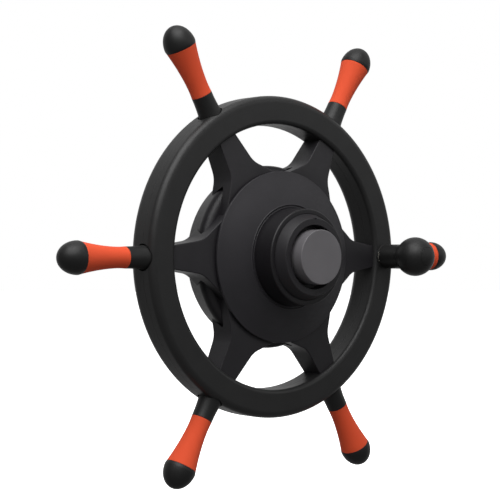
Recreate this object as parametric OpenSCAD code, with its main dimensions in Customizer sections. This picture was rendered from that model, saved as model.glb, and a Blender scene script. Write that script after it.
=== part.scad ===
// Ship's steering wheel for playground equipment: a six-spoked wheel with six
// radial hand grips and a spinner knob, turning on a fixed steel spindle.
//
// Frame: the origin is the centre of the back face, which lies on the panel.
// The wheel turns about the Y axis, its front looks along -Y and +Z is up.
// The modules draw with local z running from the panel to the front and local
// y running up; on_axle() turns that into the part's own frame.
// All lengths are in millimetres.

/* [Rim] */
// Outer diameter of the rim
rim_d = 350; // [320:5:420]
// Radial width of the rim
rim_w = 31; // [29:1:38]
// How far the rim stands ahead of the grips' centre plane
rim_ahead = 16; // [15:0.5:20]
// How far the rim reaches behind the grips' centre plane
rim_behind = 25; // [23:0.5:30]
// Wall thickness of the rim shells
rim_wall = 3.5; // [3:0.1:4]
// Corner radius, outer front
rim_round_of = 12; // [6:0.5:12]
// Corner radius, outer back
rim_round_ob = 16; // [8:0.5:16]
// Corner radius, inner front
rim_round_if = 5; // [4:0.5:8]
// Corner radius, inner back
rim_round_ib = 11.5; // [6:0.5:12]

/* [Grips] */
// Length of a hand grip, from the rim's outer edge to its tip
grip_len = 100; // [90:1:120]
// Length of the black neck between the rim and the sleeve
neck_len = 21.4; // [18:0.1:26]
// Radius of the neck where it sits on the rim
neck_base_r = 13.6; // [12.5:0.1:13.8]
// Radius of the grip at its slimmest place
grip_min_r = 10.8; // [10.8:0.1:13]
// Radius of the sleeve where it meets the end cap
sleeve_end_r = 16.4; // [15:0.1:19]
// Length of the end cap outside the sleeve
cap_len = 24.3; // [18:0.1:30]
// Largest radius of the end cap
cap_max_r = 17.1; // [16.5:0.1:20]
// Outer radius of the core tube inside the sleeve
core_r = 8.7; // [8.5:0.1:9]
// Shank diameter of the long grip bolt
grip_bolt_d = 8; // [6:1:8]

/* [Spokes and hub] */
// Half width of a spoke at the rim
spoke_half_rim = 12.4; // [12:0.1:16]
// Half width of a spoke before it flares into the hub
spoke_half_hub = 16.6; // [16:0.1:19]
// How far a spoke's front stands ahead of the grips' plane at the rim
spoke_ahead_rim = 11.5; // [10:0.5:13]
// How far a spoke's front stands ahead of the grips' plane at the hub
spoke_ahead_hub = 15.5; // [14:0.5:16]
// How far a spoke reaches behind the grips' plane
spoke_behind = 16; // [12:0.5:20]
// Radius of the flare between a spoke and its gusset
flare_r = 25; // [20:1:30]
// Lean of the gussets at a spoke's root from the spoke's own line
gusset_lean = 40; // [36:1:44]
// Wall thickness of the hub drum and its front plate
hub_wall = 3.5; // [3:0.1:4]
// Diameter of the hub drum at its front edge
drum_front_d = 206; // [200:1:230]
// Diameter of the hub drum at its back edge
drum_back_d = 184; // [176:1:200]
// How far the drum reaches behind the grips' plane
drum_behind = 33; // [30:0.5:40]
// How far the drum's front plate stands ahead of the grips' plane
plate_ahead = 3.4; // [2:0.1:5]
// Outer diameter of the hub's inner tube
hub_tube_d = 44; // [40:1:48]

/* [Hub cover and collar] */
// Outer diameter of the domed hub cover
cover_d = 186; // [180:1:196]
// Diameter of the cover's skirt, under its overhanging edge
skirt_d = 168; // [160:1:170]
// Height of the cover's edge ahead of the grips' plane
cover_edge_ahead = 19.6; // [19:0.1:24]
// Height of the cover's top ring ahead of the grips' plane
cover_top_ahead = 33; // [31:0.5:38]
// Wall thickness of the cover
cover_wall = 3; // [2.5:0.1:3.5]
// Diameter of the collar at its foot
collar_foot_d = 106; // [100:1:112]
// Diameter of the collar at its top edge
collar_top_d = 103; // [98:1:108]
// Height of the collar's top ahead of the grips' plane
collar_top_ahead = 57.5; // [54:0.5:64]
// Diameter of the cap ring where it rises from the collar
ring_foot_d = 92; // [90:1:94]
// Diameter of the cap ring's front face
ring_face_d = 82; // [80:1:88]
// Height of the cap ring's face ahead of the grips' plane
ring_face_ahead = 69; // [67:0.5:74]
// Diameter of the opening that the centre cap stands in
ring_bore_d = 68; // [66:1:70]
// Diameter of the centre cap
centre_cap_d = 58; // [54:1:60]
// Height of the centre cap's face ahead of the grips' plane
centre_cap_ahead = 79.5; // [78:0.5:84]

/* [Spindle and base] */
// Diameter of the spindle's bearing length
spindle_d = 20; // [18:1:22]
// Thread diameter of the spindle's nose
nose_d = 16; // [14:1:16]
// Outer diameter of the two bushes
bush_d = 28; // [26:1:30]
// Length of a bush inside the hub tube
bush_len = 20; // [15:1:25]
// Diameter of the mounting base
base_d = 110; // [105:1:120]
// Depth of the mounting base, panel face to front
base_depth = 25; // [24:0.5:30]
// Bolt circle diameter of the panel bolts
panel_pcd = 78; // [76:1:80]
// Minor diameter of the panel bolts' thread in the inserts
insert_bore_d = 6.8; // [5:0.1:6.8]
// Outer diameter of a threaded insert
insert_d = 10; // [9:0.1:10.5]
// Length of a threaded insert
insert_len = 15; // [12:1:16]

/* [Spinner knob] */
// Distance of the knob's axis from the middle of the rim, outward
knob_offset = 0.5; // [-1:0.5:1]
// Radius of the knob's ball
ball_r = 22; // [20:0.5:24]
// Height of the ball's centre ahead of the grips' plane
ball_ahead = 63; // [60:0.5:66]
// Radius of the knob's neck
knob_neck_r = 13.9; // [13:0.1:14.5]
// Radius of the hollow between neck and ball
knob_blend_r = 12; // [8:0.5:14]
// Shoulder diameter of the knob's bolt
knob_bolt_d = 12; // [10:1:12]

/* [Clearances] */
// Radial clearance of a turning fit
run_fit = 0.05; // [0.03:0.01:0.08]
// Axial gap between pieces that turn against each other
run_gap = 0.05; // [0.05:0.01:0.2]
// Gap between pieces of one assembly that are fitted together
fit_gap = 0.2; // [0.1:0.05:0.3]
// Gap between the base and the turning hub
hub_gap = 2; // [1.5:0.1:3]

/* [Hidden] */
$fn = 96;
spoke_count = 6;
spoke_step = 360 / spoke_count;
hair = 0.01;
thread_gap = 0.05;
overcut = 1;
least_round = 0.5;

// Stations along the axle, measured from the panel
drum_back = base_depth + hub_gap;
plane = drum_back + drum_behind;
plate_front = plane + plate_ahead;
plate_back = plate_front - hub_wall;
rim_front = plane + rim_ahead;
rim_back = plane - rim_behind;
spoke_back = plane - spoke_behind;
cover_edge = plane + cover_edge_ahead;
cover_top = plane + cover_top_ahead;
collar_top = plane + collar_top_ahead;
ring_face = plane + ring_face_ahead;
ball_at = plane + ball_ahead;

// Radii of the rim
rim_out = rim_d / 2;
rim_in = rim_out - rim_w;
rim_mid = (rim_out + rim_in) / 2;

// Hub drum and its inside
drum_front_r = drum_front_d / 2;
drum_back_r = drum_back_d / 2;
skirt_r = skirt_d / 2;
drum_edge = 2;
front_fall_r = drum_front_r - 1.5;
flare_foot = front_fall_r + 15;
side_slope = (spoke_half_hub - spoke_half_rim) / (rim_in - flare_foot);
gusset_meet_r = skirt_r + 4.4;
flare_bite = 0.15;
hub_tube_r = hub_tube_d / 2;
rib_t = 2.5;
rib_sink = 5;
drum_ribs = 12;
tube_shoulder = 3;

// Bushes, washers and nut on the spindle
spindle_r = spindle_d / 2;
nose_r = nose_d / 2;
bush_r = bush_d / 2;
bush_flange_r = bush_r + 4.5;
flange_t = 2;
washer_t = 2;
washer_r = bush_flange_r - 0.5;
washer_play = 0.3;
tube_back = drum_back + flange_t;
tube_front = cover_top + 2;
front_flange = tube_front + flange_t;
shoulder_at = front_flange + washer_t + 2 * run_gap;
steel_washer_t = 2.5;
nut_af = 24;
nut_t = 16;
nut_at = shoulder_at + steel_washer_t;
nose_end = nut_at + nut_t + 1.5;
nose_edge = 1;

// Mounting base
base_edge = 2;
bolt_runout = 4;
panel_bolts = 4;
panel_first = 45;

// Spindle foot, let into the base so that it cannot turn
foot_r = 22;
foot_flat = 17;
foot_t = 5;

// Collar and cap ring
collar_wall = 4.5;
collar_web_t = 3;
collar_web_front = cover_top - cover_wall - 0.2;
collar_web_back = collar_web_front - collar_web_t;
collar_in_r = collar_top_d / 2 - collar_wall;
ring_wall = 2.5;
ring_skirt = 9;
ring_floor = collar_top - 1.5;
ring_floor_t = 2.5;
floor_hole_r = 17;
cap_wall = 2.5;
notch_w = 6;
notch_deep = 1.6;
cap_legs = 4;
leg_t = 1.6;
leg_barb = 1;
leg_w = 6;
strut_t = 2.4;

// Tenon at the outer end of each spoke, held inside the rim
tenon_root = 3;
tenon_half_w = 10;
tenon_half_t = 8;
tenon_end = rim_out - rim_wall - 6;
tenon_nut_af = 13;
tenon_nut_t = 6.5;
tenon_nut_at = rim_in + rim_wall + 2.5;
bolt_hole_end = tenon_nut_at - 2;

// Seat of a grip in the rim
seat_depth = 7;
seat_floor = rim_out - seat_depth;
seat_block_half = 16;
spigot_r = 8;
spigot_end = tenon_end + 0.8;

// Stations along a grip, measured from the wheel's axis
sleeve_start = rim_out + neck_len;
tip_end = rim_out + grip_len;
sleeve_end = tip_end - cap_len;
grip_slim_at = sleeve_start + 8;
grip_bolt_r = grip_bolt_d / 2;
bolt_hole_r = grip_bolt_r + 0.3;
bolt_head_r = grip_bolt_r + 2.5;
bolt_head_t = grip_bolt_d;
hex_key_r = grip_bolt_r - 0.6;
head_pocket_r = bolt_head_r + 0.2;
head_seat = sleeve_end - bolt_head_t - 6;
cap_stem = 5;
cap_swell = 2.5;
sleeve_lip = 0.4;
sleeve_swell = 1.75;
neck_swell = 2.2;
sleeve_gap = 0.1;

// Screws that close the rim, and those of the hub's covers
rim_screws_n = 12;
rim_screw_first = 15;
screw_r = 2;
screw_head_r = 3.8;
screw_head_t = 2.6;
screw_boss_r = 5.6;
screw_sink = 5;
flat_head_t = 1.2;
back_screw_len = 12;
cover_screw_len = 14;
star_screw_len = 12;
star_screw_at = skirt_r + 8.5;
cover_screw_at = skirt_r - 13;
back_screw_at = drum_back_r - 11;
screw_first = 30;

// Knob
knob_at = rim_mid + knob_offset;
knob_bolt_r = knob_bolt_d / 2;
knob_thread_r = 4;
knob_boss_top = rim_front + 1;
knob_washer_t = 1.2;
knob_foot = knob_boss_top + knob_washer_t + 2 * run_gap;
knob_bush_r = knob_bolt_r + 3;
knob_head_r = 9;
knob_head_t = 5;
knob_head_gap = 1.2;
knob_pocket_r = 10.5;
knob_plug_t = 7;
knob_pocket = ball_at + 2;
knob_nut_t = 4;
knob_nut_af = 13;

// Places what is drawn along local z on the wheel's axle
module on_axle() {
    rotate([90, 0, 0]) children();
}

// Places what is drawn along local z on the centre line of spoke or grip i
module on_spoke(i) {
    on_axle() translate([0, 0, plane]) rotate([0, 0, (i - 1) * spoke_step]) rotate([0, 90, 0]) children();
}

// Copies its children at n equal steps round the axle
module ring_of(n, first = 0) {
    for (k = [0 : n - 1]) rotate([0, 0, first + k * 360 / n]) children();
}

// Tube between two stations
module tube(r_out, r_in, z0, z1) {
    difference() {
        translate([0, 0, z0]) cylinder(r = r_out, h = z1 - z0);
        translate([0, 0, z0 - overcut]) cylinder(r = r_in, h = z1 - z0 + 2 * overcut);
    }
}

// Hexagonal nut with a plain bore, between stations z0 and z0 + t
module hex_nut(af, bore_r, z0, t) {
    difference() {
        translate([0, 0, z0]) cylinder(r = af / sqrt(3), h = t, $fn = 6);
        translate([0, 0, z0 - overcut]) cylinder(r = bore_r, h = t + 2 * overcut);
    }
}

// Pan-head screw whose head seats at z0, with its shank running forward
module pan_screw(z0, len) {
    translate([0, 0, z0 - screw_head_t]) cylinder(r = screw_head_r, h = screw_head_t);
    translate([0, 0, z0 - hair]) cylinder(r = screw_r, h = len);
}

// Quarter disc that rounds the corner (x, y); sx and sy point into the section
module corner_disc(x, y, sx, sy, r) {
    translate([x + sx * r, y + sy * r]) intersection() {
        circle(r = r);
        translate([sx > 0 ? -r : 0, sy > 0 ? -r : 0]) square(r);
    }
}

// Rounded section of the rim in the (radius, height) plane, shrunk by inset
module rim_section(inset) {
    x0 = rim_in + inset;
    x1 = rim_out - inset;
    y0 = rim_back + inset;
    y1 = rim_front - inset;
    rof = max(rim_round_of - inset, least_round);
    rob = max(rim_round_ob - inset, least_round);
    rif = max(rim_round_if - inset, least_round);
    rib = max(rim_round_ib - inset, least_round);
    polygon([
        [x0, y0 + rib], [x0 + rib, y0], [x1 - rob, y0], [x1, y0 + rob],
        [x1, y1 - rof], [x1 - rof, y1], [x0 + rif, y1], [x0, y1 - rif]
    ]);
    corner_disc(x0, y0, 1, 1, rib);
    corner_disc(x1, y0, -1, 1, rob);
    corner_disc(x1, y1, -1, -1, rof);
    corner_disc(x0, y1, 1, -1, rif);
}

module rim_solid(inset = 0) {
    rotate_extrude() rim_section(inset);
}

// Half space in front of (side 1) or behind (side -1) the grips' plane
module half_space(side) {
    translate([-tip_end, -tip_end, side > 0 ? plane : plane - tip_end])
        cube([2 * tip_end, 2 * tip_end, tip_end]);
}

// Seats of the six grips and the notches of the six tenons
module rim_cutouts() {
    notch_half_w = tenon_half_w + fit_gap;
    notch_half_t = tenon_half_t + fit_gap;
    translate([0, 0, plane]) ring_of(spoke_count) {
        rotate([0, 90, 0]) {
            translate([0, 0, tenon_end - overcut]) cylinder(r = spigot_r + fit_gap, h = rim_w);
            translate([0, 0, seat_floor]) cylinder(r = neck_base_r + 2 * fit_gap, h = rim_w);
        }
        translate([rim_in - overcut, -notch_half_w, -notch_half_t])
            cube([rim_wall + 2 * overcut, 2 * notch_half_w, 2 * notch_half_t]);
    }
}

// Blocks behind the grip seats, left standing in the rim's hollow
module seat_blocks() {
    ring_of(spoke_count) translate([tenon_end + fit_gap, -seat_block_half, rim_back])
        cube([rim_w, 2 * seat_block_half, rim_ahead + rim_behind]);
}

module screw_posts(z0, z1) {
    ring_of(rim_screws_n, rim_screw_first)
        translate([rim_mid, 0, z0]) cylinder(r = screw_boss_r, h = z1 - z0);
}

// Rim with its hollow: seat blocks and screw posts stay solid
module rim_body() {
    difference() {
        rim_solid();
        difference() {
            rim_solid(rim_wall);
            seat_blocks();
            screw_posts(rim_back, rim_front);
        }
        rim_cutouts();
    }
}

module screw_holes(at_r, n, first, r, z0, z1) {
    ring_of(n, first) translate([at_r, 0, z0]) cylinder(r = r, h = z1 - z0);
}

module rim_front_shell() color([0.19, 0.19, 0.20]) on_axle() {
    nut_pocket_r = knob_nut_af / sqrt(3) + fit_gap;
    boss_foot = rim_front - rim_wall / 2;
    difference() {
        union() {
            intersection() {
                rim_body();
                half_space(1);
            }
            translate([knob_at, 0, boss_foot]) cylinder(r = knob_neck_r, h = knob_boss_top - boss_foot);
        }
        screw_holes(rim_mid, rim_screws_n, rim_screw_first, screw_r, plane - overcut, rim_front - rim_wall);
        translate([knob_at, 0, plane + tenon_half_t]) {
            cylinder(r = nut_pocket_r, h = rim_ahead - tenon_half_t - rim_wall);
            cylinder(r = knob_thread_r + fit_gap, h = rim_w);
        }
    }
}

module rim_rear_shell() color([0.17, 0.17, 0.18]) on_axle() {
    difference() {
        intersection() {
            rim_body();
            half_space(-1);
        }
        screw_holes(rim_mid, rim_screws_n, rim_screw_first, screw_r + fit_gap,
            rim_back - overcut, plane + overcut);
        screw_holes(rim_mid, rim_screws_n, rim_screw_first, screw_head_r + 2 * fit_gap,
            rim_back - overcut, rim_back + screw_sink);
    }
}

module rim_screws() color("silver") on_axle() {
    head_seat_at = rim_back + screw_sink;
    ring_of(rim_screws_n, rim_screw_first)
        translate([rim_mid, 0, 0]) pan_screw(head_seat_at, rim_front - rim_wall - 2 - head_seat_at);
}

// A spoke's side line, and the flare circle's centre: the circle touches that
// line and the hub circle, and halving finds where it stands
function side_at(x) = spoke_half_rim + (rim_in - x) * side_slope;

// Six spokes on gussets that run past the place where they meet. The walls stand
// a hair proud of the flare circles, so that no two walls merely touch.
module spoke_block(z0, z1, r_end) {
    steep = tan(gusset_lean);
    meet = gusset_meet_r * [cos(spoke_step / 2), sin(spoke_step / 2)];
    past_meet = meet + overcut * [-1, steep];
    corner_x = (meet[1] + meet[0] * steep - spoke_half_rim - rim_in * side_slope) / (steep - side_slope);
    from_side = [side_slope, 1] / norm([side_slope, 1]);
    from_gusset = [sin(gusset_lean), cos(gusset_lean)];
    centre = [corner_x, side_at(corner_x)]
        + (from_side + from_gusset) * flare_r / (1 + from_side * from_gusset);
    half = [
        past_meet, centre - from_gusset * (flare_r - flare_bite), centre,
        centre - from_side * (flare_r - flare_bite), [r_end, side_at(r_end) + flare_bite]
    ];
    translate([0, 0, z0]) difference() {
        union() {
            cylinder(r = gusset_meet_r - 2 * overcut, h = z1 - z0);
            ring_of(spoke_count) for (s = [-1, 1]) linear_extrude(z1 - z0)
                polygon([[0, 0], for (p = half) [p[0], s * p[1]], [r_end, 0]]);
        }
        ring_of(spoke_count) for (s = [-1, 1]) translate([centre[0], s * centre[1], -overcut])
            cylinder(r = flare_r, h = z1 - z0 + 2 * overcut);
    }
}

// Space in which the star lies: its front face falls from hub to rim
module spoke_envelope() {
    front_hub = plane + spoke_ahead_hub;
    rotate_extrude() polygon([
        [skirt_r + fit_gap, spoke_back - overcut], [rim_in, spoke_back - overcut],
        [rim_in, plane + spoke_ahead_rim], [front_fall_r, front_hub], [skirt_r + fit_gap, front_hub]
    ]);
}

// The hub drum, or with an inset the space inside it, which is open at the back
module drum_solid(inset) {
    back = inset > 0 ? drum_back - overcut : drum_back;
    rotate_extrude() polygon([
        [0, back],
        [drum_back_r - inset, back],
        [drum_front_r - inset, plate_front - drum_edge],
        [drum_front_r - drum_edge - inset, plate_front - inset],
        [0, plate_front - inset]
    ]);
}

// Tenons with the slots in which the grip bolts' nuts lie
module spoke_tenons() {
    tenon_start = rim_in - tenon_root;
    slot_half = tenon_nut_af / sqrt(3) + fit_gap / 2;
    slot_deep = tenon_half_t + overcut + tenon_nut_af / 2 + fit_gap / 2;
    translate([0, 0, plane]) ring_of(spoke_count) difference() {
        translate([tenon_start, -tenon_half_w, -tenon_half_t])
            cube([tenon_end - tenon_start, 2 * tenon_half_w, 2 * tenon_half_t]);
        translate([tenon_nut_at, -slot_half, -tenon_half_t - overcut])
            cube([tenon_nut_t + fit_gap, 2 * slot_half, slot_deep]);
    }
}

// Ring on the drum's plate with the six spokes, one solid moulding
module spoke_star() color([0.21, 0.20, 0.22]) on_axle() {
    difference() {
        union() {
            difference() {
                intersection() {
                    spoke_block(spoke_back, plane + spoke_ahead_hub, rim_in);
                    spoke_envelope();
                    translate([0, 0, spoke_back]) cylinder(r = rim_in - fit_gap, h = rim_d);
                }
                translate([0, 0, hair - fit_gap]) drum_solid(-fit_gap);
            }
            spoke_tenons();
        }
        translate([0, 0, plane]) ring_of(spoke_count)
            rotate([0, 90, 0]) translate([0, 0, bolt_hole_end]) cylinder(r = bolt_hole_r, h = rim_w);
        screw_holes(star_screw_at, spoke_count, 0, screw_r,
            plate_front - overcut, plate_back + star_screw_len + 1);
    }
}

module star_screws() color("silver") on_axle() {
    ring_of(spoke_count)
        translate([star_screw_at, 0, 0]) pan_screw(plate_back, star_screw_len);
}

// Hub drum: wall, front plate, bearing tube with its shoulder, ribs and screw posts
module hub_drum() color([0.20, 0.19, 0.21]) on_axle() {
    rib_back = drum_back + rib_sink;
    post_back = drum_back + hub_wall;
    into_plate = plate_back + overcut;
    difference() {
        union() {
            difference() {
                drum_solid(0);
                drum_solid(hub_wall);
            }
            translate([0, 0, tube_back]) cylinder(r = hub_tube_r, h = tube_front - tube_back);
            translate([0, 0, plate_back])
                cylinder(r = hub_tube_r + tube_shoulder, h = collar_web_back - plate_back);
            intersection() {
                union() {
                    ring_of(drum_ribs, 180 / drum_ribs)
                        translate([hub_tube_r - overcut, -rib_t / 2, rib_back])
                            cube([drum_front_r, rib_t, into_plate - rib_back]);
                    ring_of(spoke_count, screw_first) translate([back_screw_at, 0, post_back])
                        cylinder(r = screw_boss_r, h = into_plate - post_back);
                }
                drum_solid(0);
            }
        }
        translate([0, 0, drum_back - overcut]) cylinder(r = bush_r, h = rim_d);
        screw_holes(cover_screw_at, spoke_count, screw_first, screw_r + fit_gap,
            plate_back - overcut, plate_front + overcut);
        screw_holes(star_screw_at, spoke_count, 0, screw_r + fit_gap,
            plate_back - overcut, plate_front + overcut);
        screw_holes(back_screw_at, spoke_count, screw_first, screw_r,
            drum_back, drum_back + back_screw_len + 4);
    }
}

module hub_back_cover() color([0.16, 0.16, 0.17]) on_axle() {
    cover_t = hub_wall - fit_gap;
    difference() {
        tube(drum_back_r - hub_wall - 2 * fit_gap, hub_tube_r + fit_gap, drum_back, drum_back + cover_t);
        screw_holes(back_screw_at, spoke_count, screw_first, screw_r + fit_gap,
            drum_back - overcut, drum_back + cover_t + overcut);
        screw_holes(back_screw_at, spoke_count, screw_first, screw_head_r + fit_gap,
            drum_back - overcut, drum_back + cover_t / 2);
    }
}

module back_cover_screws() color("silver") on_axle() {
    head_seat_at = drum_back + (hub_wall - fit_gap) / 2;
    ring_of(spoke_count, screw_first) translate([back_screw_at, 0, 0]) {
        translate([0, 0, head_seat_at - flat_head_t]) cylinder(r = screw_head_r, h = flat_head_t);
        translate([0, 0, head_seat_at - hair]) cylinder(r = screw_r, h = back_screw_len);
    }
}

module bush(flange_at, body_at) color("ivory") on_axle() {
    difference() {
        union() {
            translate([0, 0, flange_at]) cylinder(r = bush_flange_r, h = flange_t);
            translate([0, 0, body_at]) cylinder(r = bush_r, h = bush_len);
        }
        translate([0, 0, drum_back - 1]) cylinder(r = spindle_r + run_fit, h = rim_d);
    }
}

module rear_bush() bush(drum_back, tube_back);

module front_bush() bush(tube_front, tube_front - bush_len);

module rear_thrust_washer() color("ivory") on_axle() {
    tube(washer_r, spindle_r + washer_play, base_depth + run_gap, drum_back - run_gap);
}

module front_thrust_washer() color("ivory") on_axle() {
    tube(washer_r, spindle_r + washer_play, front_flange + run_gap, shoulder_at - run_gap);
}

module spindle_washer() color("silver") on_axle() {
    tube(washer_r, nose_r + fit_gap, shoulder_at, nut_at);
}

module spindle_nut() color("silver") on_axle() {
    hex_nut(nut_af, nose_r + thread_gap, nut_at, nut_t);
}

module spindle() color("gainsboro") on_axle() {
    intersection() {
        cylinder(r = foot_r, h = foot_t);
        translate([-foot_r, -foot_flat, 0]) cube([2 * foot_r, 2 * foot_flat, foot_t]);
    }
    cylinder(r = spindle_r, h = shoulder_at);
    cylinder(r = nose_r, h = nose_end - nose_edge);
    translate([0, 0, nose_end - nose_edge]) cylinder(r1 = nose_r, r2 = nose_r - nose_edge, h = nose_edge);
}

module mounting_base() color([0.15, 0.15, 0.16]) on_axle() {
    base_r = base_d / 2;
    difference() {
        union() {
            cylinder(r = base_r, h = base_depth - base_edge);
            translate([0, 0, base_depth - base_edge])
                cylinder(r1 = base_r, r2 = base_r - base_edge, h = base_edge);
        }
        translate([0, 0, -overcut]) cylinder(r = spindle_r + fit_gap, h = base_depth + 2 * overcut);
        intersection() {
            translate([0, 0, -overcut]) cylinder(r = foot_r + fit_gap, h = foot_t + overcut);
            translate([-base_r, -foot_flat - fit_gap, -overcut])
                cube([base_d, 2 * (foot_flat + fit_gap), foot_t + overcut]);
        }
        ring_of(panel_bolts, panel_first) translate([panel_pcd / 2, 0, -overcut]) {
            cylinder(r = insert_d / 2, h = insert_len + 2 * overcut);
            cylinder(r = insert_bore_d / 2, h = insert_len + bolt_runout + overcut);
        }
    }
}

module threaded_inserts() color("goldenrod") on_axle() {
    ring_of(panel_bolts, panel_first)
        translate([panel_pcd / 2, 0, 0]) tube(insert_d / 2, insert_bore_d / 2, 0, insert_len);
}

// Dome with an overhanging edge, standing on a skirt round the spokes' roots
module hub_cover() color([0.24, 0.24, 0.26]) on_axle() {
    edge_r = cover_d / 2;
    foot_hole_r = collar_foot_d / 2 + fit_gap;
    top_r = foot_hole_r + 4;
    under = cover_edge - cover_wall;
    crown = 0.8;
    rotate_extrude() polygon([
        [foot_hole_r, cover_top - cover_wall], [top_r, cover_top - cover_wall],
        [skirt_r - cover_wall, under], [skirt_r - cover_wall, plate_front], [skirt_r, plate_front],
        [skirt_r, under], [edge_r - 1.5, under], [edge_r, under + 1], [edge_r, cover_edge - 1],
        [edge_r - 1, cover_edge], [(edge_r + top_r) / 2, (cover_edge + cover_top) / 2 + crown],
        [top_r, cover_top - 0.6], [top_r - 0.4, cover_top], [foot_hole_r + 2.6, cover_top],
        [foot_hole_r + 2, cover_top - 0.8], [foot_hole_r + 1.2, cover_top - 0.8],
        [foot_hole_r + 0.8, cover_top], [foot_hole_r, cover_top]
    ]);
    difference() {
        ring_of(spoke_count, screw_first)
            translate([cover_screw_at, 0, plate_front])
                cylinder(r = screw_boss_r, h = cover_edge - plate_front);
        screw_holes(cover_screw_at, spoke_count, screw_first, screw_r,
            plate_front - overcut, plate_back + cover_screw_len + 1);
    }
}

module hub_cover_screws() color("silver") on_axle() {
    ring_of(spoke_count, screw_first)
        translate([cover_screw_at, 0, 0]) pan_screw(plate_back, cover_screw_len);
}

module collar() color([0.20, 0.19, 0.21]) on_axle() {
    foot = collar_foot_d / 2;
    foot_flange = foot + 4;
    top = collar_top_d / 2;
    lip = ring_foot_d / 2 + fit_gap;
    rotate_extrude() polygon([
        [hub_tube_r + fit_gap, collar_web_back], [foot_flange, collar_web_back],
        [foot_flange, collar_web_front], [foot, collar_web_front],
        [top, collar_top - 2.2], [top - 0.6, collar_top - 0.7], [top - 2.2, collar_top],
        [lip, collar_top], [lip, collar_top - ring_wall], [collar_in_r, collar_top - ring_wall],
        [collar_in_r, collar_web_front], [hub_tube_r + fit_gap, collar_web_front]
    ]);
}

// Bezel that carries the centre cap: cone, flat face, bore and floor
module cap_ring() color([0.22, 0.21, 0.23]) on_axle() {
    foot = ring_foot_d / 2;
    face = ring_face_d / 2;
    bore = ring_bore_d / 2;
    floor_back = ring_floor - ring_floor_t;
    skirt = collar_in_r - fit_gap;
    under_lip = collar_top - ring_wall - fit_gap;
    difference() {
        rotate_extrude() polygon([
            [floor_hole_r, floor_back], [bore + ring_wall, floor_back],
            [bore + ring_wall, ring_face - ring_wall], [face - ring_wall, ring_face - ring_wall],
            [skirt - ring_wall, under_lip], [skirt - ring_wall, collar_top - ring_skirt],
            [skirt, collar_top - ring_skirt], [skirt, under_lip], [foot, under_lip],
            [foot, collar_top], [face, ring_face - 0.6], [face - 0.6, ring_face], [bore + 0.4, ring_face],
            [bore, ring_face - 0.4], [bore, ring_floor], [floor_hole_r, ring_floor]
        ]);
        translate([-notch_w / 2, face - 1, ring_face - notch_deep]) cube([notch_w, 4, notch_deep + overcut]);
    }
}

module centre_cap() color([0.42, 0.41, 0.43]) on_axle() {
    cap_r = centre_cap_d / 2;
    front = plane + centre_cap_ahead;
    difference() {
        rotate_extrude() polygon([
            [0, ring_floor + fit_gap], [cap_r, ring_floor + fit_gap], [cap_r, front - 1],
            [cap_r - 0.3, front - 0.3], [cap_r - 1, front], [0, front]
        ]);
        translate([0, 0, ring_floor - overcut])
            cylinder(r = cap_r - cap_wall, h = front - cap_wall - ring_floor + overcut);
    }
    clip_legs();
    cap_posts();
}

// Sprung legs that grip behind the cap ring's floor
module clip_legs() {
    leg_out = floor_hole_r - 2 * fit_gap;
    barb_seat = ring_floor - ring_floor_t - fit_gap;
    leg_back = barb_seat - 3;
    leg_top = ring_floor + 2;
    ring_of(cap_legs) intersection() {
        rotate_extrude() polygon([
            [leg_out - leg_t, leg_back], [leg_out, leg_back], [leg_out + leg_barb, barb_seat],
            [leg_out, barb_seat], [leg_out, leg_top], [leg_out - leg_t, leg_top]
        ]);
        translate([0, -leg_w / 2, leg_back - overcut])
            cube([leg_out + 2 * leg_barb, leg_w, leg_top - leg_back + 2 * overcut]);
    }
}

// Struts between the cap's wall and its clip legs
module cap_posts() {
    leg_in = floor_hole_r - 2 * fit_gap - leg_t;
    post_h = plane + centre_cap_ahead - cap_wall - ring_floor;
    ring_of(cap_legs) translate([leg_in, -strut_t / 2, ring_floor + fit_gap])
        cube([centre_cap_d / 2 - cap_wall / 2 - leg_in, strut_t, post_h]);
}

// Radius of the sleeve at a distance x along it, x from 0 to 1
function sleeve_r(x) =
    let (slim = (grip_slim_at - sleeve_start) / (sleeve_end - sleeve_start))
    x < slim ? grip_min_r + sleeve_lip * pow((slim - x) / slim, 2)
        : grip_min_r + (sleeve_end_r - grip_min_r) * pow((x - slim) / (1 - slim), sleeve_swell);

module grip_core(i) color([0.19, 0.19, 0.20]) on_spoke(i) {
    neck_top = sleeve_r(0);
    neck_foot = seat_floor + fit_gap;
    steps = 8;
    difference() {
        rotate_extrude() polygon(concat(
            [[0, spigot_end], [spigot_r, spigot_end], [spigot_r, neck_foot]],
            [for (k = [0 : steps])
                let (t = k / steps)
                [neck_top + (neck_base_r - neck_top) * pow(1 - t, neck_swell),
                 neck_foot + t * (sleeve_start - neck_foot)]],
            [[core_r, sleeve_start], [core_r, sleeve_end], [0, sleeve_end]]
        ));
        translate([0, 0, spigot_end - overcut]) cylinder(r = bolt_hole_r, h = tip_end);
        translate([0, 0, head_seat]) cylinder(r = head_pocket_r, h = tip_end);
    }
}

module grip_sleeve(i) color([0.87, 0.28, 0.12]) on_spoke(i) {
    steps = 14;
    near = sleeve_start + sleeve_gap;
    far = sleeve_end - sleeve_gap;
    difference() {
        rotate_extrude() polygon(concat(
            [[0, near]],
            [for (k = [0 : steps]) [sleeve_r(k / steps), near + (far - near) * k / steps]],
            [[0, far]]
        ));
        translate([0, 0, sleeve_start - overcut]) cylinder(r = core_r + sleeve_gap / 2, h = tip_end);
    }
}

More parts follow.
